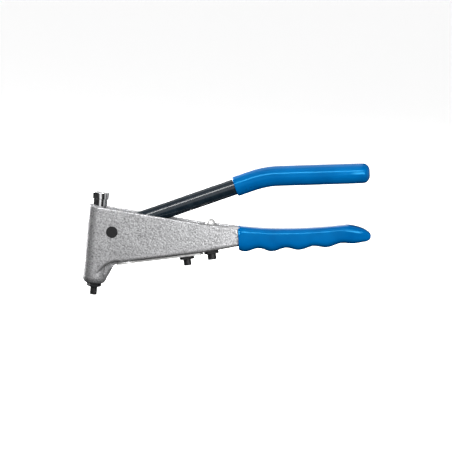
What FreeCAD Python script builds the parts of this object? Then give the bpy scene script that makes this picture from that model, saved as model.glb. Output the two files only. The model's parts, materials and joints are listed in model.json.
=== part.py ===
import FreeCAD, Part
import math
import os
from FreeCAD import Vector

os.makedirs("parts", exist_ok=True)

# Frame: millimetres. +Z up along the nose axis, origin at the centre of the fitted
# nosepiece's tip, +X towards the handles, Y across the tool.

# --- housing casting ---
front_r = 11.0            # the front is half round about the nose axis
wall = 3.0
inner_half = front_r - wall
taper_x = 60.0            # the sides run parallel up to here, then close in
end_half = 7.3            # half width where the handle sleeve starts
top_front_z = 81.3
knee_top = (90.0, 74.0)
end_top = (127.1, 73.4)
end_bottom = (129.2, 56.6)
knee_bottom = (97.0, 47.8)
belly = (24.0, 32.3)      # where the underside turns down to the nose boss
throat_mid = (9.2, 27.1)
throat_end = (3.4, 15.5)
boss_z = 10.7             # lower face of the nose boss
floor_t = 4.1
channel_end_x = 118.0
corner_r = 3.0            # rounding along the underside and the throat
rib_half = 5.6            # rib between the nose boss and the underside
train_pocket_z = (48.5, 69.8)   # room round the pulling train for the lever's toes
mouth_z = 76.8            # the channel widens at the front above this
bore_wall = 3.4           # metal left round the train's bore
underside_angle = math.degrees(math.atan2(knee_bottom[1] - belly[1], knee_bottom[0] - belly[0]))

# --- pivot and lever ---
pivot = (13.5, 59.1)
pin_r = 4.0
pin_head_r = 5.25
pin_head_t = 1.5
clip_recess_r = 6.2
clip_recess_t = 1.6
clip_r = 5.5
lever_angle = 24.3        # lever above +X in the rest pose
lever_close = 8.0         # degrees left before the lever meets its stop
lever_open = 42.0
lever_offset = 1.65       # lever axis above the pivot
tube_r = 7.25
tube_wall = 1.5
tube_start = 24.0         # along the lever from the pivot
bend_at = 146.0
bend_r = 80.0
bend_turn = 17.3
grip_start = 117.6
grip_end = 93.4           # past the bend point
grip_r = 9.1
cheek_in = 4.65
cheek_out = 7.65
toe_r = 4.0
toe_arm = pivot[0]        # the toes act on the nose axis
hub_r = 7.0

# --- pulling train on the nose axis ---
draw_r = 6.3
guide_r = 6.35
case_z = (30.2, 55.5)
case_bore_r = 5.12
cone_small_r = 2.75
cone_angle = 10.0
spigot_z = 49.5
draw_top_z = 92.0
exit_r = 2.2
collar_r = 7.25
collar_z = (87.2, 93.0)
spring_pocket = (3.6, 57.5)   # radius, closed end
jaw_z = (31.3, 41.0)
jaw_bore_r = 0.85
pusher_z = (41.0, 46.4)
spring_r = 3.4
spring_wire_r = 0.35
spring_turns = 9

# --- nosepieces ---
hex_flats = 11.5
thread_r = 3.98
tapped_r = 4.0
insert_r = 6.2
insert_top = 19.5

# --- handle sleeve ---
sleeve_wall = 2.4
sleeve_half = 9.6
sleeve_slant = math.tan(math.radians(7.2))
sleeve_top_x = 127.2
sleeve_top_z = 74.1
form_start_x = 122.0      # the handle's form begins inside the housing's end
sleeve_top = [(122, 74.0), (148, 74.2), (170, 75.7), (195, 79.4), (212, 82.7), (223, 84.2), (233, 83.3),
              (240.5, 80.4), (244.6, 76.6)]
groove_tops = [(145.8, 55.0), (170.0, 57.7), (195.0, 61.5), (219.0, 66.7)]
bulge_lows = [(130.5, 51.2), (157.0, 53.6), (181.5, 57.4), (206.0, 62.5), (236.0, 69.4)]
sleeve_bottom = sorted([(118, 52.6)] + groove_tops + bulge_lows + [(244.6, 71.6)])
tang_end_x = 238.0
sleeve_end_x = 244.4

# --- spare nosepieces and spanner on the underside ---
small_spare_x = 81.2
large_spare_x = 103.2
spare_boss_r = 7.3
spare_boss_h = 9.0
spot_face_r = 7.2
spanner_t = 2.0
spanner_x = (17.4, 96.0)
spanner_half = 6.5
spanner_head_r = 10.2

# --- lever stop ---
stop_x = 100.5
stop_z = (70.5, 73.95)
stop_head_r = 4.35
stop_stem_r = 2.5
stop_stem_length = 8.9
stop_pillar_r = 4.6


def cylinder(radius, z_low, z_high, x=0.0):
    return Part.makeCylinder(radius, z_high - z_low, Vector(x, 0, z_low))


def cross_cylinder(radius, x, z, y_low, y_high):
    return Part.makeCylinder(radius, y_high - y_low, Vector(x, y_low, z), Vector(0, 1, 0))


def box(x_low, x_high, y_low, y_high, z_low, z_high):
    return Part.makeBox(x_high - x_low, y_high - y_low, z_high - z_low, Vector(x_low, y_low, z_low))


def turned(profile):
    """Solid of revolution about Z from (radius, z) points."""
    points = [Vector(r, 0, z) for r, z in profile]
    face = Part.Face(Part.makePolygon(points + points[:1]))
    return face.revolve(Vector(0, 0, 0), Vector(0, 0, 1), 360)


def side_prism(edges, half_width):
    """Prism across the tool from a closed side outline."""
    face = Part.Face(Part.Wire(edges))
    face.translate(Vector(0, -half_width, 0))
    return face.extrude(Vector(0, 2 * half_width, 0))


def side_polygon(points, half_width):
    corners = [Vector(x, 0, z) for x, z in points]
    wire = Part.makePolygon(corners + corners[:1])
    return side_prism(wire.Edges, half_width)


def underside_z(x):
    """Height of the casting's underside below the side panels."""
    low, high = (belly, knee_bottom) if x < knee_bottom[0] else (knee_bottom, end_bottom)
    return low[1] + (high[1] - low[1]) * (x - low[0]) / (high[0] - low[0])


def half_width(x, straight, end):
    """Half width of the plan outline: parallel, then an even taper to the handle."""
    if x < taper_x:
        return straight
    return straight - (straight - end) * (x - taper_x) / (end_bottom[0] - taper_x)


def plan_prism(radius, end, x_end, z_low, z_high):
    """Round-fronted plan outline, extruded up."""
    reach = half_width(x_end, radius, end)
    corners = [(0, radius), (taper_x, radius), (x_end, reach), (x_end, -reach), (taper_x, -radius), (0, -radius)]
    points = [Vector(x, y, z_low) for x, y in corners]
    edges = [Part.LineSegment(a, b).toShape() for a, b in zip(points, points[1:])]
    edges.append(Part.Arc(points[-1], Vector(-radius, 0, z_low), points[0]).toShape())
    return Part.Face(Part.Wire(edges)).extrude(Vector(0, 0, z_high - z_low))


def square_to_underside(shape, x, drop=0.0):
    """Put a piece made about Z, with its seat at Z 0, square on the underside at x."""
    tilt = math.radians(underside_angle)
    shape.rotate(Vector(0, 0, 0), Vector(0, 1, 0), -underside_angle)
    shape.translate(Vector(x + drop * math.sin(tilt), 0, underside_z(x) - drop * math.cos(tilt)))
    return shape


def casting_side():
    """Side panels with the concave throat that runs down to the nose boss."""
    corners = [(-front_r, top_front_z), knee_top, end_top, end_bottom, knee_bottom, belly]
    points = [Vector(x, 0, z) for x, z in corners]
    edges = [Part.LineSegment(a, b).toShape() for a, b in zip(points, points[1:])]
    middle = Vector(throat_mid[0], 0, throat_mid[1])
    end = Vector(throat_end[0], 0, throat_end[1])
    edges.append(Part.Arc(points[-1], middle, end).toShape())
    front = Vector(-front_r, 0, throat_end[1])
    edges.append(Part.LineSegment(end, front).toShape())
    edges.append(Part.LineSegment(front, points[0]).toShape())
    panel = side_prism(edges, front_r + 1)
    return panel.common(plan_prism(front_r, end_half, 130, 0, 90))


def lower_side_edges(shape):
    """Edges along the underside and the throat, on both flanks."""
    found = []
    for edge in shape.Edges:
        middle = edge.valueAt((edge.FirstParameter + edge.LastParameter) / 2)
        flank = abs(middle.y) > end_half - 1.5
        along = edge.BoundBox.XLength > 5
        low = middle.z < underside_z(max(middle.x, belly[0])) + 1
        if flank and along and low and middle.x > 4:
            found.append(edge)
    return found


def nose_boss():
    """Round boss with a bevelled lower end, and the rib behind it."""
    round_part = turned([(0, boss_z), (7.6, boss_z), (9.3, boss_z + 1.1), (10.5, boss_z + 3.2),
                         (front_r, 16.6), (front_r, 40), (0, 40)])
    rib = side_polygon([(0, boss_z + 0.6), (8.6, boss_z + 0.6), (12.6, 19.0), (16.6, 28.0), (24, 33.5),
                        (24, 38), (0, 38)], rib_half)
    upright = [e for e in rib.Edges if e.BoundBox.ZLength > 5 and e.BoundBox.XMax > 8 and e.BoundBox.XMax < 23]
    return round_part.fuse(rib.makeFillet(4.0, upright))


def channel():
    """Space between the side walls, open at the top, with the bore for the pulling train."""
    pocket_low, pocket_high = train_pocket_z
    behind_bore = guide_r + bore_wall
    end_floor_z = underside_z(channel_end_x) + floor_t
    floor = [(behind_bore, 37.0), (25.0, 37.0), (knee_bottom[0], knee_bottom[1] + floor_t),
             (channel_end_x, end_floor_z), (channel_end_x, 90), (0, 90), (0, pocket_low),
             (behind_bore, pocket_low)]
    inside = side_polygon(floor, front_r)
    inside = inside.common(plan_prism(inner_half, end_half - wall, channel_end_x + 2, 0, 90))
    pocket = cylinder(inner_half, pocket_low, pocket_high)
    toe_room = box(-toe_r - 0.6, 0, -inner_half, inner_half, pocket_low, pocket_high)
    mouth = cylinder(inner_half, mouth_z, 90)
    bore = cylinder(guide_r, insert_top, 90)
    insert_seat = cylinder(insert_r, 0, insert_top)
    return inside.multiFuse([pocket, toe_room, mouth, bore, insert_seat])


def oval(x, low, high, half, inset=0.0):
    """Rounded upright section of the handle at x, as a closed smooth wire."""
    middle = (low + high) / 2
    half_height = (high - low) / 2 - inset
    points = []
    for step in range(16):
        angle = 2 * math.pi * step / 16
        c, s = math.cos(angle), math.sin(angle)
        y = (half - inset) * math.copysign(abs(c) ** 0.85, c)
        z = half_height * math.copysign(abs(s) ** 0.85, s)
        points.append(Vector(x, y, middle + z))
    curve = Part.BSplineCurve()
    curve.interpolate(points, PeriodicFlag=True)
    return Part.Wire(curve.toShape())


def height_on(curve, x):
    """Z of a left-to-right side curve at x, by halving."""
    low, high = curve.FirstParameter, curve.LastParameter
    for _ in range(40):
        middle = (low + high) / 2
        if curve.value(middle).x < x:
            low = middle
        else:
            high = middle
    return curve.value(low).z


def smooth_curve(points):
    curve = Part.BSplineCurve()
    curve.interpolate([Vector(x, 0, z) for x, z in points])
    return curve


def handle_form(inset, x_end):
    """Handle with finger grooves underneath, drawn in by inset all round."""
    top = smooth_curve(sleeve_top)
    bottom = smooth_curve(sleeve_bottom)
    sections = []
    count = 34
    for step in range(count + 1):
        x = form_start_x + (x_end - form_start_x) * step / count
        low, high = height_on(bottom, x), height_on(top, x)
        closing = max(0.0, (x - 225) / 20)
        half = sleeve_half - 4.2 * closing ** 2
        sections.append(oval(x, low, high, half, inset))
    return Part.makeLoft(sections, True, False)


def behind_sleeve_start(gap=0.0):
    """Half space on the handle side of the sleeve's slanted open end."""
    high, low, far = 100, 30, 260
    top_x = sleeve_top_x - gap + (sleeve_top_z - high) * sleeve_slant
    bottom_x = sleeve_top_x - gap + (sleeve_top_z - low) * sleeve_slant
    return side_polygon([(top_x, high), (far, high), (far, low), (bottom_x, low)], 20)


def make_housing():
    side = casting_side()
    side = side.makeFillet(corner_r, lower_side_edges(side))
    body = side.fuse(nose_boss())
    tang = handle_form(sleeve_wall, tang_end_x).common(behind_sleeve_start(0.3))
    body = body.fuse(tang)
    body = body.cut(channel())
    within_walls = plan_prism(front_r - 1, end_half - 1, 130, 0, 90)
    for x in (small_spare_x, large_spare_x):
        boss = square_to_underside(cylinder(spare_boss_r, 1.0, spare_boss_h), x)
        body = body.fuse(boss.common(within_walls))
    pillar = cylinder(stop_pillar_r, underside_z(stop_x) + 2, stop_z[0], stop_x)
    body = body.fuse(pillar.common(within_walls))
    for x in (small_spare_x, large_spare_x):
        body = body.cut(square_to_underside(cylinder(tapped_r, -5, spare_boss_h - 1.4), x))
        body = body.cut(square_to_underside(cylinder(spot_face_r, -4, 0), x))
    body = body.cut(cylinder(stop_stem_r + 0.02, stop_z[0] - stop_stem_length - 0.1, 80, stop_x))
    x, z = pivot
    body = body.cut(cross_cylinder(pin_r + 0.02, x, z, -20, 20))
    body = body.cut(cross_cylinder(pin_head_r + 0.05, x, z, -20, -front_r + pin_head_t))
    body = body.cut(cross_cylinder(clip_recess_r, x, z, front_r - clip_recess_t, 20))
    return body.removeSplitter()


def make_handle_sleeve():
    outer = handle_form(0.0, sleeve_end_x)
    hollow = handle_form(sleeve_wall - 0.05, tang_end_x + 0.3)
    return outer.cut(hollow).common(behind_sleeve_start())


def make_pivot_pin():
    x, z = pivot
    shank = cross_cylinder(pin_r, x, z, -front_r + pin_head_t, front_r - 0.2)
    head = cross_cylinder(pin_head_r, x, z, -front_r + 0.15, -front_r + pin_head_t)
    groove = cross_cylinder(pin_r + 1, x, z, front_r - 1.55, front_r - 0.5)
    groove = groove.cut(cross_cylinder(pin_r - 0.8, x, z, 0, front_r + 1))
    return shank.fuse(head).cut(groove)


def make_pivot_circlip():
    x, z = pivot
    ring = cross_cylinder(clip_r, x, z, front_r - 1.52, front_r - 0.55)
    ring = ring.cut(cross_cylinder(pin_r - 0.78, x, z, 0, front_r + 1))
    return ring.cut(box(x, x + 8, 0, front_r + 1, z - 2.2, z + 2.2))


def to_lever(shape):
    """Place a piece drawn with the pivot at the origin and the lever along X."""
    shape.rotate(Vector(0, 0, 0), Vector(0, 1, 0), -lever_angle)
    shape.translate(Vector(pivot[0], 0, pivot[1]))
    return shape


def lever_bar(radius, start, end_past_bend):
    """Round bar along the lever's axis, through its bend."""
    turn = math.radians(bend_turn)
    reach = bend_r * math.tan(turn / 2)
    first = Vector(start, 0, lever_offset)
    into = Vector(bend_at - reach, 0, lever_offset)
    centre = into + Vector(0, 0, -bend_r)
    arc_mid = centre + Vector(bend_r * math.sin(turn / 2), 0, bend_r * math.cos(turn / 2))
    out = centre + Vector(bend_r * math.sin(turn), 0, bend_r * math.cos(turn))
    along = Vector(math.cos(turn), 0, -math.sin(turn))
    last = Vector(bend_at, 0, lever_offset) + along * end_past_bend
    path = Part.Wire([Part.LineSegment(first, into).toShape(), Part.Arc(into, arc_mid, out).toShape(),
                      Part.LineSegment(out, last).toShape()])
    ring = Part.Wire(Part.makeCircle(radius, first, Vector(1, 0, 0)))
    return path.makePipeShell([ring], True, False)


def make_lever_tube():
    end = grip_end - 4.0
    tube = lever_bar(tube_r, tube_start, end).cut(lever_bar(tube_r - tube_wall, tube_start - 1, end + 1))
    tube = tube.cut(rivet_bores())
    return to_lever(tube)


def rivet_places():
    return [tube_start + 6.0, tube_start + 13.0]


def rivet_bores():
    bores = [cross_cylinder(2.02, x, lever_offset, -10, 10) for x in rivet_places()]
    return Part.makeCompound(bores)


def make_lever_fork():
    """Forged fork: two cheeks with rounded toes, a bridge, and a spigot inside the tube."""
    mid_stroke = (lever_open - lever_close) / 2
    toe_angle = math.radians(180 - mid_stroke - lever_angle)
    toe = (toe_arm * math.cos(toe_angle), toe_arm * math.sin(toe_angle))
    low, high = lever_offset - 6.2, lever_offset + 6.2
    plate = cross_cylinder(toe_r, toe[0], toe[1], -cheek_out, cheek_out)
    arm = box(0, toe_arm, -cheek_out, cheek_out, -3.3, 3.3)
    arm.rotate(Vector(0, 0, 0), Vector(0, 1, 0), -math.degrees(toe_angle))
    hub = cross_cylinder(hub_r, 0, 0, -cheek_out, cheek_out)
    shoulder = side_polygon([(-1.5, -6.8), (tube_start, low), (tube_start, high), (1.5, 6.8)], cheek_out)
    plate = plate.multiFuse([arm, hub, shoulder])
    gap = box(-30, tube_start - 7.5, -cheek_in, cheek_in, -30, 30)
    plate = plate.cut(gap)
    spigot = Part.makeCylinder(tube_r - tube_wall - 0.02, 20, Vector(tube_start - 0.5, 0, lever_offset),
                               Vector(1, 0, 0))
    fork = plate.fuse(spigot).cut(rivet_bores())
    fork = fork.cut(cross_cylinder(pin_r + 0.05, 0, 0, -20, 20))
    return to_lever(fork.removeSplitter())


def make_lever_rivets():
    pins = [cross_cylinder(2.0, x, lever_offset, -6.9, 6.9) for x in rivet_places()]
    return to_lever(Part.makeCompound(pins))


def make_lever_sleeve():
    sleeve = lever_bar(grip_r, grip_start, grip_end)
    tip = [e for e in sleeve.Edges if abs(e.CenterOfMass.x - sleeve.BoundBox.XMax) < 4 and e.Length > 50]
    sleeve = sleeve.makeFillet(6.5, tip)
    return to_lever(sleeve.cut(lever_bar(tube_r + 0.02, grip_start - 1, grip_end - 4.0 + 0.05)))


def make_draw_bar():
    """Pulling bar with side slots for the lever's toes and a bore for spent mandrels."""
    bar = turned([(0, spigot_z), (case_bore_r - 0.02, spigot_z), (case_bore_r - 0.02, case_z[1]),
                  (draw_r, case_z[1]), (draw_r, collar_z[0] + 0.8), (5.0, collar_z[0] + 0.8),
                  (5.0, draw_top_z), (0, draw_top_z)])
    bar = bar.cut(cylinder(spring_pocket[0], spigot_z - 1, spring_pocket[1]))
    bar = bar.cut(cylinder(exit_r, spring_pocket[1] - 1, draw_top_z + 1))
    groove_z = pivot[1] + train_lift() * math.radians((lever_open - lever_close) / 2)
    half_groove = toe_r + 0.2
    half_relief = half_groove + 2.2
    for side in (-1, 1):
        y_low, y_high = sorted((side * (cheek_in - 0.05), side * 10))
        slot = box(-10, 10, y_low, y_high, groove_z - half_groove, groove_z + half_groove)
        relief = box(2.0, 10, y_low, y_high, groove_z - half_relief, groove_z + half_relief)
        bar = bar.cut(slot.fuse(relief))
    return bar


def train_lift():
    """Lift of the pulling train per radian of lever, best straight line over the stroke."""
    return 0.977 * toe_arm


def make_exit_collar():
    low, high = collar_z
    ring = turned([(5.02, low + 0.8), (draw_r + 0.03, low + 0.8), (draw_r + 0.03, low), (collar_r - 0.7, low),
                   (collar_r - 0.2, low + 0.3), (collar_r, low + 0.9), (collar_r, high - 0.3),
                   (collar_r - 0.3, high), (exit_r + 1.3, high), (exit_r, high - 0.98), (exit_r, draw_top_z),
                   (5.02, draw_top_z)])
    return ring


def cone_radius(z):
    return cone_small_r + (z - case_z[0]) * math.tan(math.radians(cone_angle))


def make_jaw_case():
    low, high = case_z
    cone_top = low + (case_bore_r - cone_small_r) / math.tan(math.radians(cone_angle))
    return turned([(cone_small_r, low), (draw_r - 0.6, low), (draw_r, low + 1.2), (draw_r, high),
                   (case_bore_r, high), (case_bore_r, cone_top)])


def make_jaw(index):
    """One of three wedge jaws: a third of a cone with a toothed bore."""
    low, high = jaw_z
    clearance = 0.04
    outline = [(jaw_bore_r + 0.5, low), (cone_radius(low) - clearance, low),
               (cone_radius(high) - clearance, high), (jaw_bore_r + 1.5, high)]
    teeth = 8
    pitch = (high - low - 2.0) / teeth
    for tooth in range(teeth):
        z = high - 1.0 - tooth * pitch
        outline.append((jaw_bore_r, z))
        outline.append((jaw_bore_r + 0.3, z - pitch))
    ring = turned(outline)
    sector = Part.makeCylinder(8, high - low + 2, Vector(0, 0, low - 1), Vector(0, 0, 1), 360 / 3)
    jaw = ring.common(sector)
    for angle in (0, 120):
        kerf = box(-1, 10, -0.3, 0.3, low - 1, high + 1)
        kerf.rotate(Vector(0, 0, 0), Vector(0, 0, 1), angle)
        jaw = jaw.cut(kerf)
    jaw.rotate(Vector(0, 0, 0), Vector(0, 0, 1), 120 * index)
    return jaw


def make_jaw_pusher():
    low, high = pusher_z
    return turned([(1.5, low + 0.02), (4.2, low + 0.02), (4.3, low + 2.7), (4.9, low + 3.3), (4.9, high - 0.5),
                   (4.6, high), (2.6, high), (2.6, high + 5.0), (1.5, high + 5.0)])


def make_jaw_spring():
    low = pusher_z[1] + 0.1 + spring_wire_r
    high = spring_pocket[1] - 0.1 - spring_wire_r
    radius = spring_r - spring_wire_r
    helix = Part.makeHelix((high - low) / spring_turns, high - low, radius)
    ring = Part.Wire(Part.makeCircle(spring_wire_r, Vector(radius, 0, 0), Vector(0, 1, 0)))
    spring = Part.Wire(helix).makePipeShell([ring], True, True)
    spring.translate(Vector(0, 0, low))
    return spring


def make_nose_insert():
    return turned([(tapped_r, boss_z), (insert_r - 0.02, boss_z), (insert_r - 0.02, insert_top - 0.02),
                   (tapped_r, insert_top - 0.02)])


def nosepiece(bore_r, tip_r, tip_length, flange_t, thread_length, first_corner):
    """Nosepiece about Z with its flange seated at Z 0 and the tip pointing down."""
    bottom = -flange_t - tip_length
    tip = turned([(0, bottom), (tip_r - 0.4, bottom), (tip_r, bottom + 0.4), (tip_r, -flange_t), (0, -flange_t)])
    corner_r = hex_flats / math.sqrt(3)
    corners = []
    for step in range(6):
        angle = math.radians(60 * step + first_corner)
        corners.append(Vector(corner_r * math.cos(angle), corner_r * math.sin(angle), -flange_t))
    flange = Part.Face(Part.makePolygon(corners + corners[:1])).extrude(Vector(0, 0, flange_t))
    flange = flange.common(turned([(0, -flange_t), (hex_flats / 2, -flange_t), (corner_r, -flange_t + 0.45),
                                   (corner_r, 0), (0, 0)]))
    thread = turned([(0, 0), (thread_r, 0), (thread_r, thread_length - 0.8), (thread_r - 0.8, thread_length),
                     (2.6, thread_length), (2.0, thread_length + 1.4), (0, thread_length + 1.4)])
    body = tip.fuse(flange).fuse(thread)
    return body.cut(cylinder(bore_r, bottom - 1, thread_length + 3)).removeSplitter()


def make_nosepiece_fitted():
    tip_length = 7.6
    piece = nosepiece(1.35, 3.15, tip_length, boss_z - tip_length, 7.9, 25)
    piece.translate(Vector(0, 0, boss_z))
    return piece


def make_spare_nosepiece_small():
    piece = nosepiece(1.2, 3.5, 5.8, 2.6, 5.4, 30)
    return square_to_underside(piece, small_spare_x, spanner_t)


def make_spare_nosepiece_large():
    return square_to_underside(nosepiece(1.6, 3.95, 5.4, 2.6, 5.4, 30), large_spare_x)


def make_spanner():
    """Flat strip with an open jaw at the nose end, held by the first spare's flange."""
    tilt = math.cos(math.radians(underside_angle))
    left = (spanner_x[0] - small_spare_x) / tilt
    right = (spanner_x[1] - small_spare_x) / tilt
    shank = box(left + spanner_head_r, right - spanner_half, -spanner_half, spanner_half, -spanner_t, 0)
    tail = cylinder(spanner_half, -spanner_t, 0, right - spanner_half)
    head = cylinder(spanner_head_r, -spanner_t, 0, left + spanner_head_r)
    strip = shank.multiFuse([tail, head])
    half_jaw = hex_flats / 2 + 0.1
    jaw = box(left - 5, left + spanner_head_r - 2, -half_jaw, half_jaw, -5, 5)
    jaw = jaw.fuse(cylinder(half_jaw, -5, 5, left + spanner_head_r - 2))
    strip = strip.cut(jaw).cut(cylinder(thread_r + 0.2, -5, 5))
    return square_to_underside(strip, small_spare_x)


def make_lever_stop():
    low, shoulder = stop_z
    head = cylinder(stop_head_r, low, shoulder, stop_x)
    dome = Part.makeSphere(stop_head_r, Vector(stop_x, 0, shoulder))
    stem = cylinder(stop_stem_r, low - stop_stem_length, low, stop_x)
    return head.multiFuse([dome, stem]).removeSplitter()


pieces = {
    "housing": make_housing,
    "handle_sleeve": make_handle_sleeve,
    "nose_insert": make_nose_insert,
    "nosepiece_fitted": make_nosepiece_fitted,
    "spare_nosepiece_small": make_spare_nosepiece_small,
    "spare_nosepiece_large": make_spare_nosepiece_large,
    "spanner": make_spanner,
    "lever_stop": make_lever_stop,
    "pivot_pin": make_pivot_pin,
    "pivot_circlip": make_pivot_circlip,
    "lever_fork": make_lever_fork,
    "lever_tube": make_lever_tube,
    "lever_rivets": make_lever_rivets,
    "lever_sleeve": make_lever_sleeve,
    "draw_bar": make_draw_bar,
    "exit_collar": make_exit_collar,
    "jaw_case": make_jaw_case,
    "jaw_pusher": make_jaw_pusher,
    "jaw_spring": make_jaw_spring,
}
for number in range(3):
    pieces["jaw_%d" % (number + 1)] = lambda index=number: make_jaw(index)

for name, make in pieces.items():
    shape = make()
    shape.exportStep("parts/%s.step" % name)
    print(name, len(shape.Solids), shape.isValid(), round(shape.Volume, 1))
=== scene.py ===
import bpy
import json
import math
from mathutils import Matrix, Vector

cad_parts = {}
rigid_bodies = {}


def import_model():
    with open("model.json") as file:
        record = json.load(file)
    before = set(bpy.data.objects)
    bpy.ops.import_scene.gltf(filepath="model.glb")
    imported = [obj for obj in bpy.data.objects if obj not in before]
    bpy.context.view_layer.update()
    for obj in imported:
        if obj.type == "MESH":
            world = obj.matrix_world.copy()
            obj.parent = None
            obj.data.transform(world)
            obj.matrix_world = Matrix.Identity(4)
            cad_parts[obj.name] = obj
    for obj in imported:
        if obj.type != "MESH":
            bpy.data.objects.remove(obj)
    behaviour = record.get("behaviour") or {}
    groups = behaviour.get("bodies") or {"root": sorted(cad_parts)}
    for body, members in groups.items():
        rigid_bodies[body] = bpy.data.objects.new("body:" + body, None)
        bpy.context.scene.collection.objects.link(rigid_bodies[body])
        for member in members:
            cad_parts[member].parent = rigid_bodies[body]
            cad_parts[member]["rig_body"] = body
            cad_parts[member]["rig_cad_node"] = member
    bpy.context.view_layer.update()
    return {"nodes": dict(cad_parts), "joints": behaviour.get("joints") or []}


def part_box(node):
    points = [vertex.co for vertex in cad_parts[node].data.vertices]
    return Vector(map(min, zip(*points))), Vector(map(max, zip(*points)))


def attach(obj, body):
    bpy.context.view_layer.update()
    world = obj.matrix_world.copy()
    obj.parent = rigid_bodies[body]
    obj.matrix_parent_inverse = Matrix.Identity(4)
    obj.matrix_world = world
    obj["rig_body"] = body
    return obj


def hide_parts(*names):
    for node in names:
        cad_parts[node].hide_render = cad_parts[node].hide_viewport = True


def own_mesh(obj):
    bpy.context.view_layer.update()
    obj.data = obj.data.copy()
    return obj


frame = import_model()
nodes = frame["nodes"]
mm = 0.001

# ---------------------------------------------------------------- housing
# The body is one light-metal casting: two flanks open along the top, a half-round front,
# the nose boss and the core of the lower handle. It is sprayed with a silver hammer finish,
# and every edge that the mould leaves is softly rounded.

edge_round = 0.7 * mm
rim_round = 1.2 * mm
sharp_angle = math.radians(40)
smooth_angle = math.radians(32)
rim_front = (-11 * mm, 81.3 * mm)      # the open top edge, as x and height
rim_knee = (90 * mm, 74.0 * mm)
rim_end = (127.1 * mm, 73.4 * mm)


def leave_only(piece):
    """Makes one object the selected and active one."""
    bpy.ops.object.select_all(action="DESELECT")
    piece.select_set(True)
    bpy.context.view_layer.objects.active = piece


def merged_copy(node, name):
    """Copies a machined or cast CAD node and joins its loose triangles into whole faces."""
    piece = nodes[node].copy()
    piece.data = nodes[node].data.copy()
    piece.name = name
    piece.parent = None
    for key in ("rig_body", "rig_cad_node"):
        if key in piece:
            del piece[key]
    bpy.context.scene.collection.objects.link(piece)
    leave_only(piece)
    bpy.ops.mesh.customdata_custom_splitnormals_clear()
    bpy.ops.object.mode_set(mode="EDIT")
    bpy.ops.mesh.select_all(action="SELECT")
    bpy.ops.mesh.remove_doubles(threshold=0.001 * mm)
    bpy.ops.mesh.dissolve_limited(angle_limit=math.radians(1.0))
    bpy.ops.object.mode_set(mode="OBJECT")
    return piece


def rim_height(x):
    """Height of the open top edge of the flanks."""
    start, end = (rim_front, rim_knee) if x < rim_knee[0] else (rim_knee, rim_end)
    return start[1] + (x - start[0]) * (end[1] - start[1]) / (end[0] - start[0])


def round_the_rim(piece):
    """Rounds both edges of the flanks' open top, where the mould leaves them fullest."""
    leave_only(piece)
    bpy.ops.object.mode_set(mode="EDIT")
    bpy.ops.mesh.select_mode(type="EDGE")
    bpy.ops.mesh.select_all(action="DESELECT")
    bpy.ops.object.mode_set(mode="OBJECT")
    points = piece.data.vertices
    for edge in piece.data.edges:
        ends = [points[index].co for index in edge.vertices]
        edge.select = all(abs(co.z - rim_height(co.x)) < 0.03 * mm and co.x < 126 * mm for co in ends)
    bpy.ops.object.mode_set(mode="EDIT")
    bpy.ops.mesh.bevel(offset=rim_round, segments=4, clamp_overlap=True)
    bpy.ops.object.mode_set(mode="OBJECT")


def soften(piece, rounding, segments=3):
    """Rounds the sharp edges of a piece and shades the rest smooth."""
    leave_only(piece)
    if rounding:
        bevel = piece.modifiers.new("rounded edges", "BEVEL")
        bevel.width = rounding
        bevel.segments = segments
        bevel.limit_method = "ANGLE"
        bevel.angle_limit = sharp_angle
        bpy.ops.object.modifier_apply(modifier=bevel.name)
    bpy.ops.object.shade_smooth_by_angle(angle=smooth_angle)
    even = piece.modifiers.new("even shading", "WEIGHTED_NORMAL")
    even.keep_sharp = True
    bpy.ops.object.modifier_apply(modifier=even.name)


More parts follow.
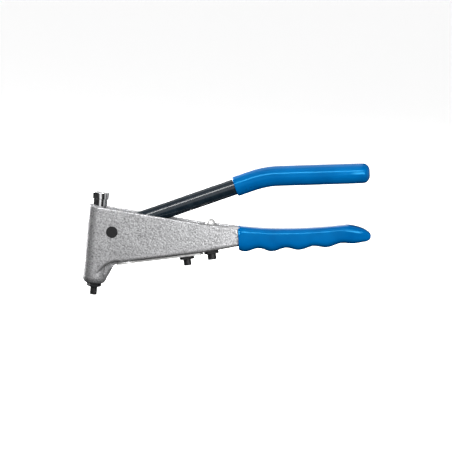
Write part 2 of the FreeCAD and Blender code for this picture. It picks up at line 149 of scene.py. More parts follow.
class Finish:
    """A material being put together: its shader, and the object-space point that patterns read."""

    def __init__(self, name, colour, metallic, roughness):
        self.material = bpy.data.materials.new(name)
        self.material.use_nodes = True
        self.tree = self.material.node_tree
        self.shader = self.tree.nodes["Principled BSDF"]
        self.shader.inputs["Base Color"].default_value = (*colour, 1)
        self.shader.inputs["Metallic"].default_value = metallic
        self.shader.inputs["Roughness"].default_value = roughness
        self.place = self.tree.nodes.new("ShaderNodeTexCoord").outputs["Object"]

    def stretched(self, scale):
        mapping = self.tree.nodes.new("ShaderNodeMapping")
        mapping.inputs["Scale"].default_value = scale
        self.tree.links.new(self.place, mapping.inputs["Vector"])
        return mapping.outputs["Vector"]

    def noise(self, grain, detail=2.0, rough=0.5, along=None):
        """Noise with features about one grain across."""
        texture = self.tree.nodes.new("ShaderNodeTexNoise")
        texture.inputs["Scale"].default_value = 1 / grain
        texture.inputs["Detail"].default_value = detail
        texture.inputs["Roughness"].default_value = rough
        self.tree.links.new(along or self.place, texture.inputs["Vector"])
        return texture.outputs["Fac"]

    def cells(self, grain):
        texture = self.tree.nodes.new("ShaderNodeTexVoronoi")
        texture.feature = "SMOOTH_F1"
        texture.inputs["Scale"].default_value = 1 / grain
        texture.inputs["Smoothness"].default_value = 0.6
        self.tree.links.new(self.place, texture.inputs["Vector"])
        return texture.outputs["Distance"]

    def ramp(self, value, stops):
        """Turns a 0 to 1 pattern into greys or colours at the given places."""
        ramp = self.tree.nodes.new("ShaderNodeValToRGB")
        band = ramp.color_ramp
        while len(band.elements) < len(stops):
            band.elements.new(0.5)
        for element, (place, colour) in zip(band.elements, stops):
            element.position = place
            element.color = (*colour, 1) if isinstance(colour, tuple) else (colour, colour, colour, 1)
        self.tree.links.new(value, ramp.inputs["Fac"])
        return ramp.outputs["Color"]

    def mixed(self, share, first, second, blend="MIX"):
        mix = self.tree.nodes.new("ShaderNodeMix")
        mix.data_type = "RGBA"
        mix.blend_type = blend
        for name, value in (("Factor", share), ("A", first), ("B", second)):
            if isinstance(value, bpy.types.NodeSocket):
                self.tree.links.new(value, mix.inputs[name])
            else:
                mix.inputs[name].default_value = value
        return mix.outputs["Result"]

    def feed(self, socket, value):
        self.tree.links.new(value, self.shader.inputs[socket])

    def bumps(self, *layers):
        """Stacks bump layers of (height pattern, strength, depth) under the shader."""
        below = None
        for height, strength, depth in layers:
            bump = self.tree.nodes.new("ShaderNodeBump")
            bump.inputs["Strength"].default_value = strength
            bump.inputs["Distance"].default_value = depth
            self.tree.links.new(height, bump.inputs["Height"])
            if below:
                self.tree.links.new(below, bump.inputs["Normal"])
            below = bump.outputs["Normal"]
        self.tree.links.new(below, self.shader.inputs["Normal"])

    def put_on(self, *pieces):
        """Gives the finish to a new piece, or to a CAD node's own material slots."""
        for piece in pieces:
            if piece.name not in nodes:
                piece.data.materials.clear()
                piece.data.materials.append(self.material)
            for slot in piece.material_slots:
                slot.link = "OBJECT"
                slot.material = self.material


def hammer_silver():
    """Silver hammer paint: pooled dimples, darker between, with bright flakes."""
    finish = Finish("hammer_silver", (0.7, 0.7, 0.71), 0.7, 0.4)
    dimples = finish.cells(1.9 * mm)
    grain = finish.noise(1.15 * mm, detail=3, rough=0.6)
    clouds = finish.noise(14 * mm, detail=2)
    base = finish.ramp(grain, [(0.34, (0.18, 0.18, 0.183)), (0.48, (0.33, 0.33, 0.337)),
                               (0.63, (0.49, 0.49, 0.5))])
    shade = finish.ramp(clouds, [(0.3, 0.86), (0.7, 1.0)])
    colour = finish.mixed(1.0, base, shade, "MULTIPLY")
    finish.feed("Base Color", colour)
    finish.feed("Roughness", finish.ramp(grain, [(0.3, 0.55), (0.7, 0.34)]))
    finish.bumps((clouds, 0.15, 0.6 * mm), (dimples, 0.5, 0.3 * mm), (grain, 0.35, 0.15 * mm))
    return finish


housing = merged_copy("housing", "housing_casting")
round_the_rim(housing)
soften(housing, edge_round)
hammer_silver().put_on(housing)
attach(housing, "housing")
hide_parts("housing")

# ---------------------------------------------------------------- lower handle sleeve
# A sleeve of blue vinyl, dipped over the cast core of the lower handle. Its underside has
# four finger grooves, its top rises towards the heel, and the end droops like a beak.

sleeve_mouth = 127.2 * mm
sleeve_tip = 245.0 * mm
mouth_slant = math.radians(7.2)
groove_pitch = 24.4 * mm
sleeve_half = 9.6 * mm
sleeve_flat = 74.1 * mm   # height of the upper line before it rises
rise_start, rise_run, rise_height = 140 * mm, 83 * mm, 10.2 * mm
heel_start, heel_run = 222 * mm, 23 * mm
heel_low, heel_dome = 75.5 * mm, 8.7 * mm
first_bulge = 130.5 * mm
beak_start, beak_run = 237 * mm, 8 * mm
closing_run = 12 * mm     # the last rings draw together over this length
ring_step = 3.0 * mm


def handle_top(x):
    """Height of the sleeve's upper line: flat, then rising to the heel, then round to the tip."""
    rise = max(0.0, (x - rise_start) / rise_run) ** 1.7
    heel = min(1.0, max(0.0, (x - heel_start) / heel_run))
    rounded = heel_low + heel_dome * math.sqrt(1 - heel ** 2)
    return min(sleeve_flat + rise_height * rise, rounded)


def handle_bottom(x):
    """Height of the underside: a slow upward sweep with a wave for the fingers."""
    run = (x - first_bulge) / mm
    sweep = 51.3 + 0.0739 * run + 0.000935 * run ** 2
    wave = (1 - math.cos(2 * math.pi * (run - 3.1) / (groove_pitch / mm))) / 2
    depth = 3.5 - 0.013 * run
    low = sweep + depth * wave * (run < 100.7)
    tip = min(1.0, max(0.0, (x - beak_start) / beak_run))
    low = min(low, 70.0)
    return (low + (75.4 - low) * (1 - math.sqrt(1 - tip ** 2))) * mm


def open_ring(name, sides, radius, location, rotation=(0, 0, 0)):
    """Starts a piece as one open ring and leaves it selected in edit mode."""
    bpy.ops.object.select_all(action="DESELECT")
    bpy.ops.mesh.primitive_circle_add(vertices=sides, radius=radius, location=location, rotation=rotation)
    piece = bpy.context.object
    piece.name = name
    bpy.ops.object.transform_apply(location=True, rotation=True, scale=True)
    bpy.ops.object.mode_set(mode="EDIT")
    bpy.ops.mesh.select_all(action="SELECT")
    return piece


def rounded_square_ring(name, location):
    """Starts a piece as one open ring: a square two metres wide, across X, with round corners."""
    bpy.ops.object.select_all(action="DESELECT")
    bpy.ops.mesh.primitive_plane_add(size=2, location=location, rotation=(0, math.pi / 2, 0))
    piece = bpy.context.object
    piece.name = name
    bpy.ops.object.transform_apply(location=True, rotation=True, scale=True)
    bpy.ops.object.mode_set(mode="EDIT")
    bpy.ops.mesh.select_all(action="SELECT")
    bpy.ops.mesh.bevel(offset=0.64, segments=7, affect="VERTICES")
    bpy.ops.mesh.select_all(action="SELECT")
    bpy.ops.mesh.delete(type="ONLY_FACE")
    bpy.ops.mesh.select_all(action="SELECT")
    return piece


def draw_out(offset, scale=(1, 1, 1), centre=(0, 0, 0)):
    """Extrudes the selected ring by an offset and resizes it about a centre."""
    bpy.ops.mesh.extrude_region_move(TRANSFORM_OT_translate={"value": offset})
    bpy.ops.transform.resize(value=scale, center_override=centre)


def close_up(piece, smoothing):
    """Leaves edit mode with the normals outward, then smooths by subdivision."""
    bpy.ops.mesh.select_all(action="SELECT")
    bpy.ops.mesh.remove_doubles(threshold=0.001 * mm)
    bpy.ops.mesh.normals_make_consistent(inside=False)
    bpy.ops.object.mode_set(mode="OBJECT")
    leave_only(piece)
    if smoothing:
        rounder = piece.modifiers.new("smooth skin", "SUBSURF")
        rounder.levels = smoothing
        rounder.render_levels = smoothing
        bpy.ops.object.modifier_apply(modifier=rounder.name)
    bpy.ops.object.shade_smooth()


def section(x):
    """Middle height, half height and half width of the handle at x."""
    top, bottom = handle_top(x), handle_bottom(x)
    closing = max(0.0, (x - heel_start) / heel_run)
    half_width = sleeve_half * math.sqrt(max(0.06, 1 - 0.75 * closing ** 2))
    return (top + bottom) / 2, (top - bottom) / 2, half_width


def make_handle_sleeve():
    wall = 1.9 * mm
    middle, half_height, half_width = section(sleeve_mouth)
    piece = rounded_square_ring("handle_grip", (sleeve_mouth, 0, middle))
    centre = (sleeve_mouth, 0, middle)
    bead = 0.35 * mm
    half_height, half_width = half_height + bead, half_width + bead
    bpy.ops.transform.resize(value=(1, half_width, half_height), center_override=centre)
    stations = [sleeve_mouth + 0.6 * mm, sleeve_mouth + 1.6 * mm]
    while stations[-1] < sleeve_tip - closing_run:
        stations.append(stations[-1] + ring_step)
    for share in (0.2, 0.4, 0.58, 0.72, 0.84, 0.93, 0.985):
        stations.append(sleeve_tip - closing_run * (1 - share))
    x = sleeve_mouth
    for next_x in stations:
        next_middle, next_half_height, next_half_width = section(next_x)
        draw_out((next_x - x, 0, next_middle - middle),
                 (1, next_half_width / half_width, next_half_height / half_height), (next_x, 0, next_middle))
        x, middle, half_height, half_width = next_x, next_middle, next_half_height, next_half_width
    bpy.ops.mesh.edge_face_add()
    bpy.ops.mesh.inset(thickness=1.0 * mm)
    turn_mouth_inward(piece, wall)
    slant_mouth(piece)
    close_up(piece, 2)
    return piece


def pick(piece, test):
    """Selects the vertices of a piece whose place passes a test, in edit mode."""
    bpy.ops.mesh.select_all(action="DESELECT")
    bpy.ops.object.mode_set(mode="OBJECT")
    for vertex in piece.data.vertices:
        vertex.select = test(vertex.co)
    bpy.ops.object.mode_set(mode="EDIT")
    bpy.ops.mesh.select_mode(type="VERT")


def turn_mouth_inward(piece, wall):
    """Gives the open end its thickness: a rounded lip that goes back inside."""
    pick(piece, lambda co: co.x < sleeve_mouth + 0.01 * mm)
    middle, half_height, half_width = section(sleeve_mouth)
    inner = (1, 1 - wall / half_width, 1 - wall / half_height)
    draw_out((-0.3 * mm, 0, 0), (1, 1 - 0.4 * mm / half_width, 1 - 0.4 * mm / half_height),
             (sleeve_mouth, 0, middle))
    draw_out((0, 0, 0), inner, (sleeve_mouth, 0, middle))
    draw_out((2.5 * mm, 0, 0), (1, 1, 1), (sleeve_mouth, 0, middle))


def slant_mouth(piece):
    """Leans the mouth so that it is square to the handle and not to the nose."""
    middle = section(sleeve_mouth)[0]
    for reach in (0.1, 0.9):
        pick(piece, lambda co: co.x < sleeve_mouth + reach * mm)
        bpy.ops.transform.rotate(value=mouth_slant / 2, orient_axis="Y",
                                 center_override=(sleeve_mouth, 0, middle))


def blue_vinyl():
    """Glossy blue dipped vinyl with the faint unevenness of a dipped skin."""
    finish = Finish("blue_vinyl", (0.0, 0.19, 0.6), 0.0, 0.2)
    tone = finish.noise(22 * mm, detail=2)
    colour = finish.ramp(tone, [(0.3, (0.0, 0.062, 0.2)), (0.7, (0.0, 0.08, 0.245))])
    finish.feed("Base Color", colour)
    scuffs = finish.noise(6 * mm, detail=4, rough=0.6)
    finish.feed("Roughness", finish.ramp(scuffs, [(0.35, 0.08), (0.75, 0.17)]))
    finish.shader.inputs["Specular IOR Level"].default_value = 0.35
    finish.shader.inputs["Specular Tint"].default_value = (0.08, 0.62, 1.0, 1)
    finish.bumps((finish.noise(12 * mm, detail=1), 0.2, 0.4 * mm), (finish.noise(0.7 * mm), 0.06, 0.05 * mm))
    return finish


blue = blue_vinyl()
handle_grip = make_handle_sleeve()
blue.put_on(handle_grip)
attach(handle_grip, "housing")
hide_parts("handle_sleeve")

# ---------------------------------------------------------------- lever tube
# The upper lever is a round steel tube, bent once near its middle and enamelled gloss
# black. Its lower end is pushed over the fork's spigot and held by two rivets.

pivot = Vector(next(joint["pos_m"] for joint in frame["joints"] if joint["name"] == "lever_pivot"))
lever_angle = math.radians(24.3)
axis_height = 1.65 * mm
tube_radius = 7.25 * mm
tube_start = 24.0 * mm
tube_end = 89.4 * mm      # past the bend point
tube_wall = 1.5 * mm
bend_radius = 80.0 * mm
bend_turn = math.radians(17.3)
bend_reach = bend_radius * math.tan(bend_turn / 2)
bend_entry = 146.0 * mm - bend_reach
after_bend = Vector((math.cos(bend_turn), 0, -math.sin(bend_turn)))


def round_the_bend(straight):
    """Draws the selected ring to the bend, spins it round, and on along the lever's end."""
    bpy.ops.mesh.extrude_region_move(TRANSFORM_OT_translate={"value": (straight, 0, 0)})
    centre = (bend_entry, 0, axis_height - bend_radius)
    bpy.ops.mesh.spin(steps=10, angle=-bend_turn, center=centre, axis=(0, 1, 0))


def onto_lever(piece):
    """Moves a piece drawn along X, with the pivot at the origin, to its place on the lever."""
    leave_only(piece)
    piece.matrix_world = Matrix.Translation(pivot) @ Matrix.Rotation(-lever_angle, 4, "Y")
    bpy.ops.object.transform_apply(location=True, rotation=True, scale=True)


def make_lever_tube():
    piece = open_ring("lever_bar", 48, tube_radius, (tube_start, 0, axis_height), (0, math.pi / 2, 0))
    round_the_bend(bend_entry - tube_start)
    bpy.ops.mesh.extrude_region_move(TRANSFORM_OT_translate={"value": after_bend * (tube_end - bend_reach)})
    close_up(piece, 0)
    wall = piece.modifiers.new("wall", "SOLIDIFY")
    wall.thickness = tube_wall
    wall.offset = -1
    bpy.ops.object.modifier_apply(modifier=wall.name)
    soften(piece, 0.3 * mm)
    onto_lever(piece)
    return piece


def black_enamel():
    """Gloss black enamel with faint orange peel and a blue-grey cast."""
    finish = Finish("black_enamel", (0.012, 0.013, 0.017), 0.0, 0.16)
    peel = finish.noise(1.6 * mm, detail=1)
    dust = finish.noise(7 * mm, detail=5, rough=0.65)
    colour = finish.ramp(dust, [(0.35, (0.004, 0.008, 0.012)), (0.8, (0.010, 0.017, 0.023))])
    finish.feed("Base Color", colour)
    finish.feed("Roughness", finish.ramp(dust, [(0.4, 0.12), (0.75, 0.2)]))
    finish.shader.inputs["Specular IOR Level"].default_value = 0.4
    finish.bumps((peel, 0.03, 0.04 * mm))
    return finish


enamel = black_enamel()
lever_bar = make_lever_tube()
enamel.put_on(lever_bar)
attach(lever_bar, "lever")
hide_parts("lever_tube")

# ---------------------------------------------------------------- lever sleeve
# A second blue vinyl sleeve is dipped over the lever, round its bend, with a thick mouth
# and a closed, rounded end.

grip_radius = 9.1 * mm
grip_mouth = 117.6 * mm
grip_end = 93.4 * mm      # past the bend point
end_round = 6.5 * mm


def make_lever_sleeve():
    piece = open_ring("lever_grip", 40, tube_radius + 0.05 * mm, (grip_mouth + 3 * mm, 0, axis_height),
                      (0, math.pi / 2, 0))
    centre = (grip_mouth, 0, axis_height)
    draw_out((-3 * mm, 0, 0))
    for radius, forward in ((grip_radius - 0.7 * mm, -0.15 * mm), (grip_radius - 0.15 * mm, 0.35 * mm),
                            (grip_radius, 1.0 * mm), (grip_radius, 3.0 * mm)):
        widen_to(piece, radius, forward, centre)
    straight = bend_entry - grip_mouth - 4.2 * mm
    round_the_bend(straight)
    along = grip_end - bend_reach - end_round
    bpy.ops.mesh.extrude_region_move(TRANSFORM_OT_translate={"value": after_bend * along})
    round_off_end(piece)
    close_up(piece, 1)
    onto_lever(piece)
    return piece


def widen_to(piece, radius, forward, centre):
    """Extrudes the selected ring forward and gives it a new radius about the lever's axis."""
    now = max((vertex.co - Vector((vertex.co.x, 0, axis_height))).length for vertex in selected(piece))
    scale = radius / now
    draw_out((forward, 0, 0), (1, scale, scale), centre)


def selected(piece):
    """The selected vertices of a piece that is open in edit mode."""
    piece.update_from_editmode()
    return [vertex for vertex in piece.data.vertices if vertex.select]


def round_off_end(piece):
    """Closes the far end with a dome-edged cap."""
    steps = 5
    shrunk = 1.0
    for step in range(1, steps + 1):
        angle = math.pi / 2 * step / steps
        before = math.pi / 2 * (step - 1) / steps
        forward = end_round * (math.sin(angle) - math.sin(before))
        target = (grip_radius - end_round * (1 - math.cos(angle))) / grip_radius
        bpy.ops.mesh.extrude_region_move(TRANSFORM_OT_translate={"value": after_bend * forward})
        ring = selected(piece)
        middle = sum((vertex.co for vertex in ring), Vector()) / len(ring)
        scale = target / shrunk
        bpy.ops.transform.resize(value=(scale, scale, scale), center_override=middle)
        shrunk = target
    bpy.ops.mesh.edge_face_add()
    bpy.ops.mesh.inset(thickness=1.0 * mm)


lever_grip = make_lever_sleeve()
blue.put_on(lever_grip)
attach(lever_grip, "lever")
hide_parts("lever_sleeve")

# ---------------------------------------------------------------- pulling bar and collar
# The pulling bar is a ground steel tube that slides in the nose axis. A turned collar is
# pressed on its top end, with a dished mouth that lets the spent mandrels out.

collar_low, collar_high = (corner.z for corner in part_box("exit_collar"))
collar_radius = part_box("exit_collar")[1].x
exit_radius = 2.2 * mm
collar_lip = 2.6 * mm
collar_dish = 2.2 * mm    # width of the slope from the lip to the bore
dish_depth = 1.3 * mm


def bright_steel():
    """Ground and polished steel with fine turning lines and a few dull patches."""
    finish = Finish("bright_steel", (0.62, 0.62, 0.63), 1.0, 0.12)
    lines = finish.noise(0.12 * mm, detail=1, along=finish.stretched((0.04, 0.04, 1)))
    dull = finish.noise(5 * mm, detail=4, rough=0.6)
    finish.feed("Base Color", finish.ramp(dull, [(0.35, (0.52, 0.52, 0.53)), (0.65, (0.68, 0.68, 0.69))]))
    finish.feed("Roughness", finish.ramp(dull, [(0.35, 0.05), (0.75, 0.12)]))
    finish.bumps((lines, 0.1, 0.02 * mm))
    return finish


def upright_rod(name, sides, radius, low, high, x=0.0, y=0.0):
    """A capped upright cylinder between two heights, open in edit mode with its top face selected."""
    bpy.ops.object.select_all(action="DESELECT")
    bpy.ops.mesh.primitive_cylinder_add(vertices=sides, radius=radius, depth=high - low,
                                        location=(x, y, (low + high) / 2))
    piece = bpy.context.object
    piece.name = name
    bpy.ops.object.transform_apply(location=True, rotation=True, scale=True)
    bpy.ops.object.mode_set(mode="EDIT")
    pick_faces(piece, lambda face: face.normal.z > 0.9)
    return piece


def pick_faces(piece, test):
    """Selects the faces of a piece that pass a test, in edit mode."""
    bpy.ops.mesh.select_mode(type="FACE")
    bpy.ops.mesh.select_all(action="DESELECT")
    bpy.ops.object.mode_set(mode="OBJECT")
    for face in piece.data.polygons:
        face.select = test(face)
    bpy.ops.object.mode_set(mode="EDIT")


def step_in(inset, rise):
    """Insets the selected face and moves it along Z, as one cut of the lathe."""
    bpy.ops.mesh.inset(thickness=inset)
    bpy.ops.transform.translate(value=(0, 0, rise))


def straight_on(rise):
    """Extrudes the selected face along Z."""
    bpy.ops.mesh.extrude_region_move(TRANSFORM_OT_translate={"value": (0, 0, rise)})


def whole(piece, rounding=0.0, segments=2):
    """Closes a lathe piece: back to object mode, edges broken, smooth shading."""
    bpy.ops.object.mode_set(mode="OBJECT")
    soften(piece, rounding, segments)


steel = bright_steel()
collar = upright_rod("mandrel_collar", 64, collar_radius, collar_low, collar_high)
step_in(collar_lip, 0)
step_in(collar_dish, -dish_depth)
step_in(collar_radius - collar_lip - collar_dish - exit_radius, -0.2 * mm)
straight_on(collar_low + 0.3 * mm - collar_high)
pick_faces(collar, lambda face: face.normal.z < -0.9)
bpy.ops.mesh.inset(thickness=0.5 * mm)
whole(collar, 0.3 * mm, 3)
steel.put_on(collar)
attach(collar, "draw_train")
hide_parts("exit_collar")

pulling_bar = merged_copy("draw_bar", "pulling_bar")
soften(pulling_bar, 0.2 * mm, 2)
steel.put_on(pulling_bar)
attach(pulling_bar, "draw_train")
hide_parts("draw_bar")

# ---------------------------------------------------------------- nosepieces
# Three hardened nosepieces, turned from hexagon bar and chemically blackened. One is
# screwed into the nose, two spares into the underside. Each has its own tip and bore.

hexagon = 11.5 * mm
belly = (24.0 * mm, 32.3 * mm)         # the underside's line, as x and height
knee = (97.0 * mm, 47.8 * mm)
handle_start = (129.2 * mm, 56.6 * mm)
underside_tilt = math.atan2(knee[1] - belly[1], knee[0] - belly[0])
nose_seat = 10.7 * mm
spanner_thick = 2.0 * mm


def black_oxide():
    """Chemically blackened steel, satin, with paler rubbed spots."""
    finish = Finish("black_oxide", (0.012, 0.012, 0.013), 0.1, 0.36)
    finish.shader.inputs["Specular IOR Level"].default_value = 0.25
    rubbed = finish.noise(2.5 * mm, detail=5, rough=0.7)
    colour = finish.ramp(rubbed, [(0.5, (0.010, 0.010, 0.011)), (0.85, (0.035, 0.034, 0.033))])
    finish.feed("Base Color", colour)
    finish.feed("Roughness", finish.ramp(rubbed, [(0.35, 0.42), (0.75, 0.26)]))
    finish.bumps((finish.noise(0.25 * mm), 0.12, 0.03 * mm))
    return finish


def make_nosepiece(name, tip_radius, tip_length, flange, bore_radius, first_corner):
    """A nosepiece about Z, seated at Z 0 with its tip pointing down."""
    flange_piece = upright_rod(name, 6, hexagon / math.sqrt(3), -flange, 0)
    pick_faces(flange_piece, lambda face: face.normal.z < -0.9)
    bpy.ops.mesh.inset(thickness=0.35 * mm)
    bpy.ops.transform.translate(value=(0, 0, -0.3 * mm))
    bpy.ops.mesh.select_all(action="SELECT")
    bpy.ops.transform.rotate(value=first_corner, orient_axis="Z", center_override=(0, 0, 0))
    whole(flange_piece, 0.25 * mm)
    tip = upright_rod(name + "_tip", 40, tip_radius, -flange - tip_length, -flange + 0.3 * mm)
    pick_faces(tip, lambda face: face.normal.z < -0.9)
    step_in(0.9 * mm, 0)
    step_in(max(0.2 * mm, tip_radius - 0.9 * mm - bore_radius - 0.35 * mm), 0)
    step_in(0.35 * mm, 0.4 * mm)
    straight_on(tip_length + flange - 1.0 * mm)
    whole(tip, 0.35 * mm, 3)
    thread = upright_rod(name + "_thread", 32, 3.9 * mm, -0.2 * mm, 5.0 * mm)
    step_in(0.6 * mm, 0.5 * mm)
    whole(thread)
    leave_only(flange_piece)
    tip.select_set(True)
    thread.select_set(True)
    bpy.ops.object.join()
    flange_piece.name = name
    return flange_piece


def settle(piece, place, tilt=0.0):
    """Tilts a piece about Y and moves it to its seat."""
    piece.matrix_world = Matrix.Translation(place) @ Matrix.Rotation(-tilt, 4, "Y")
    leave_only(piece)
    bpy.ops.object.transform_apply(location=True, rotation=True, scale=True)


def underside(x, drop=0.0):
    """A point on the underside at x, or that far below it along its normal."""
    start, end = (belly, knee) if x < knee[0] else (knee, handle_start)
    height = start[1] + (x - start[0]) * (end[1] - start[1]) / (end[0] - start[0])
    return Vector((x + drop * math.sin(underside_tilt), 0, height - drop * math.cos(underside_tilt)))


oxide = black_oxide()
fitted = make_nosepiece("nosepiece_in_use", 3.15 * mm, 7.6 * mm, 3.1 * mm, 1.35 * mm, math.radians(25))
settle(fitted, Vector((0, 0, nose_seat)))
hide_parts("nosepiece_fitted")
small_spare = make_nosepiece("spare_nose_small", 3.5 * mm, 5.8 * mm, 2.6 * mm, 1.2 * mm, math.radians(30))
settle(small_spare, underside(81.2 * mm, spanner_thick), underside_tilt)
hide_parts("spare_nosepiece_small")
large_spare = make_nosepiece("spare_nose_large", 3.95 * mm, 5.4 * mm, 2.6 * mm, 1.6 * mm, math.radians(30))
settle(large_spare, underside(103.2 * mm), underside_tilt)
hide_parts("spare_nosepiece_large")
for nose in (fitted, small_spare, large_spare):
    oxide.put_on(nose)
    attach(nose, "housing")

# ---------------------------------------------------------------- pivot pin
# A headed steel pin, blackened, sits flush in the near flank and carries the lever.
# A circlip in a recess of the far flank holds it.

pin = merged_copy("pivot_pin", "pivot_axle")
soften(pin, 0.25 * mm, 3)
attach(pin, "housing")
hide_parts("pivot_pin")
oxide.put_on(pin, nodes["pivot_circlip"])

# ---------------------------------------------------------------- spanner and lever stop
# The nosepiece spanner is a stamped strip of plated steel, clamped flat under the body by
# the first spare. The lever stop is a plated, round-headed stud pressed into its pillar.


def plated_steel():
    """Zinc-plated steel, bright but a little clouded, with fine rolling lines."""
    finish = Finish("plated_steel", (0.5, 0.5, 0.5), 0.7, 0.5)
    clouds = finish.noise(4 * mm, detail=5, rough=0.65)
    lines = finish.noise(0.3 * mm, detail=1, along=finish.stretched((0.03, 1, 1)))
    finish.feed("Base Color", finish.ramp(clouds, [(0.35, (0.42, 0.42, 0.42)), (0.7, (0.6, 0.6, 0.59))]))
    finish.feed("Roughness", finish.ramp(clouds, [(0.35, 0.48), (0.75, 0.62)]))
    finish.bumps((lines, 0.12, 0.03 * mm))
    return finish


plating = plated_steel()
wrench = merged_copy("spanner", "nosepiece_spanner")
soften(wrench, 0.7 * mm, 3)
stop_stud = merged_copy("lever_stop", "stop_stud")
soften(stop_stud, 0.2 * mm, 2)
for piece, node in ((wrench, "spanner"), (stop_stud, "lever_stop")):
    plating.put_on(piece)
    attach(piece, "housing")
    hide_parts(node)

# ---------------------------------------------------------------- fork, jaws and other inner steel
# The fork is forged and blackened with the lever. The insert, rivets, jaw case, jaws,
# pusher and spring are plain machined steel, oiled, and stay inside the body.

fork = merged_copy("lever_fork", "forged_fork")
soften(fork, 0.4 * mm, 3)
enamel.put_on(fork)
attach(fork, "lever")
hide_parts("lever_fork")


def oiled_steel():
    """Machined steel, darkened by oil, with cutting marks."""
    finish = Finish("oiled_steel", (0.42, 0.42, 0.44), 1.0, 0.3)
    marks = finish.noise(0.2 * mm, detail=2, along=finish.stretched((0.1, 0.1, 1)))
    film = finish.noise(3 * mm, detail=4)
    finish.feed("Base Color", finish.ramp(film, [(0.3, (0.30, 0.29, 0.28)), (0.7, (0.48, 0.48, 0.49))]))
    finish.feed("Roughness", finish.ramp(film, [(0.3, 0.22), (0.7, 0.4)]))
    finish.bumps((marks, 0.15, 0.03 * mm))
    return finish


oiled = oiled_steel()
for name in ("nose_insert", "lever_rivets", "jaw_case", "jaw_pusher", "jaw_1", "jaw_2", "jaw_3"):
    oiled.put_on(nodes[name])

# ---------------------------------------------------------------- jaw spring
# The jaw spring is wound from music wire and sits in a pocket of the pulling bar.
# In the real tool it shortens as the pusher comes up against it; here it keeps one length.

spring = merged_copy("jaw_spring", "wound_spring")
bpy.ops.object.shade_smooth()
oiled.put_on(spring)
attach(spring, "draw_train")
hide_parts("jaw_spring")
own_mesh(spring)

# ---------------------------------------------------------------- camera, floor and light
# The tool stands nose down on a pale floor, seen nearly square on from its side, a little
# from above and from the handle end, and tilted slightly in the frame.


def look_at(obj, place, target, roll=0.0):
    direction = (Vector(target) - Vector(place)).normalized()
    turn = direction.to_track_quat("-Z", "Y").to_matrix().to_4x4() @ Matrix.Rotation(roll, 4, "Z")
    obj.matrix_world = Matrix.Translation(place) @ turn


view_target = Vector((0.1146, 0, 0.0728))
view_azimuth = math.radians(3)
view_elevation = math.radians(7)
view_width = 0.406
lens = 180.0
distance = view_width * lens / 36      # for a sensor 36 mm wide
toward_camera = Vector((math.sin(view_azimuth) * math.cos(view_elevation),
                        -math.cos(view_azimuth) * math.cos(view_elevation), math.sin(view_elevation)))
view_roll = math.radians(4.9)
camera = bpy.data.objects.new("camera", bpy.data.cameras.new("camera"))
bpy.context.scene.collection.objects.link(camera)
camera.data.lens = lens
camera.data.clip_end = 100
look_at(camera, view_target + toward_camera * distance, view_target, view_roll)
bpy.context.scene.camera = camera

bpy.ops.object.select_all(action="DESELECT")
bpy.ops.mesh.primitive_plane_add(size=60, location=(0, 0, -0.2 * mm))
floor = bpy.context.object
floor.name = "floor"


def side_panels(tree, direction):
    """Greys round the room by how far a direction leans to the nose (-1) or the handles (1)."""
    apart = tree.nodes.new("ShaderNodeSeparateXYZ")
    centred = tree.nodes.new("ShaderNodeMapRange")
    centred.inputs["From Min"].default_value = -1
    panels = tree.nodes.new("ShaderNodeValToRGB")
    tree.links.new(direction, apart.inputs["Vector"])
    tree.links.new(apart.outputs["X"], centred.inputs["Value"])
    tree.links.new(centred.outputs["Result"], panels.inputs["Fac"])
    dark, bright, dim = 0.03, 1.3, 0.6
    stops = ((-1.0, 0.05), (-0.54, 0.05), (-0.4, bright), (-0.04, bright),
             (0.01, dark), (0.68, dark), (0.8, dim), (1.0, dim))
    while len(panels.color_ramp.elements) < len(stops):
        panels.color_ramp.elements.new(0.5)
    for element, (side, grey) in zip(panels.color_ramp.elements, stops):
        element.position = (side + 1) / 2
        element.color = (grey, grey, grey, 1)
    return panels.outputs["Color"]


def for_the_eye(tree, seen, mirrored, output):
    """Shows one shader to the camera and lets the tool mirror the other."""
    rays = tree.nodes.new("ShaderNodeLightPath")
    shown = tree.nodes.new("ShaderNodeMixShader")
    tree.links.new(rays.outputs["Is Camera Ray"], shown.inputs["Fac"])
    tree.links.new(mirrored, shown.inputs[1])
    tree.links.new(seen, shown.inputs[2])
    tree.links.new(shown.outputs["Shader"], tree.nodes[output].inputs["Surface"])


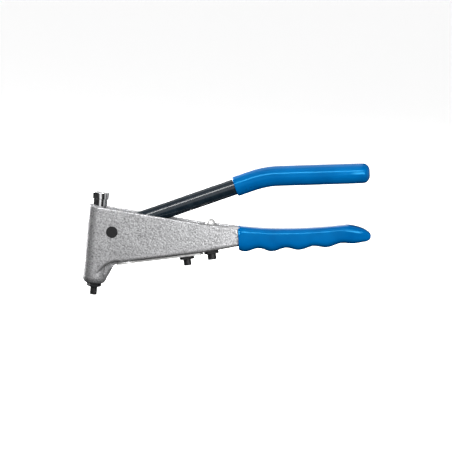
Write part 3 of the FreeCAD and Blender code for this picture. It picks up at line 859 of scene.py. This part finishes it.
pale = Finish("pale_floor", (0.8, 0.8, 0.8), 0.0, 0.9)
glow = pale.tree.nodes.new("ShaderNodeEmission")
glow.inputs["Strength"].default_value = 0.6
lit = pale.tree.nodes.new("ShaderNodeAddShader")
pale.tree.links.new(pale.shader.outputs["BSDF"], lit.inputs[0])
pale.tree.links.new(glow.outputs["Emission"], lit.inputs[1])
outward = pale.tree.nodes.new("ShaderNodeVectorMath")
outward.operation = "NORMALIZE"
reach = pale.tree.nodes.new("ShaderNodeVectorMath")
reach.operation = "LENGTH"
centre = pale.tree.nodes.new("ShaderNodeMapping")
centre.inputs["Location"].default_value = (-0.24, 0, 0)
pale.tree.links.new(pale.place, centre.inputs["Vector"])
pale.tree.links.new(centre.outputs["Vector"], outward.inputs[0])
pale.tree.links.new(pale.place, reach.inputs[0])
# Painted shadow: the floor's glow is painted darker close to the tool, as if shaded by it.
painted_shade_near_tool = pale.tree.nodes.new("ShaderNodeMapRange")
painted_shade_near_tool.inputs["From Min"].default_value = 0.28
painted_shade_near_tool.inputs["From Max"].default_value = 0.66
painted_shade_near_tool.inputs["To Min"].default_value = 0.01
pale.tree.links.new(reach.outputs["Value"], painted_shade_near_tool.inputs["Value"])
# Painted light and reflection: bright panels with dark gaps, by direction from the tool, painted into the
# floor's glow for every ray but the camera's.
painted_glow_panels = pale.tree.nodes.new("ShaderNodeEmission")
pale.tree.links.new(side_panels(pale.tree, outward.outputs["Vector"]), painted_glow_panels.inputs["Color"])
pale.tree.links.new(painted_shade_near_tool.outputs["Result"], painted_glow_panels.inputs["Strength"])
for_the_eye(pale.tree, lit.outputs["Shader"], painted_glow_panels.outputs["Emission"], "Material Output")
pale.put_on(floor)


def softbox(name, place, target, width, height, power):
    light = bpy.data.lights.new(name, "AREA")
    light.shape = "RECTANGLE"
    light.size = width
    light.size_y = height
    light.energy = power
    lamp = bpy.data.objects.new(name, light)
    bpy.context.scene.collection.objects.link(lamp)
    look_at(lamp, Vector(place), Vector(target))


softbox("high_strip", (0.1, -1.2, 0.95), (0.1, 0, 0.07), 2.2, 0.15, 30)
softbox("nose_side", (-1.1, 0.9, 0.3), (0, 0, 0.05), 0.6, 0.9, 100)
softbox("rim_top", (0.1, 0.5, 1.6), (0.1, 0, 0.07), 2.0, 0.2, 2.5)
softbox("handle_side", (0.38, -0.65, 0.2), (0.1, 0, 0.06), 0.3, 0.25, 4.5)

# The room is white behind the tool. Round it stand bright panels with dark gaps between,
# which the polished parts mirror.
world = bpy.data.worlds.new("studio")
bpy.context.scene.world = world
world.use_nodes = True
room = world.node_tree
walls = room.nodes["Background"]
backdrop = room.nodes.new("ShaderNodeBackground")
backdrop.inputs["Color"].default_value = (1, 1, 1, 1)
direction = room.nodes.new("ShaderNodeTexCoord")
room.links.new(side_panels(room, direction.outputs["Generated"]), walls.inputs["Color"])
for_the_eye(room, backdrop.outputs["Background"], walls.outputs["Background"], "World Output")
bpy.context.scene.view_settings.view_transform = "Standard"
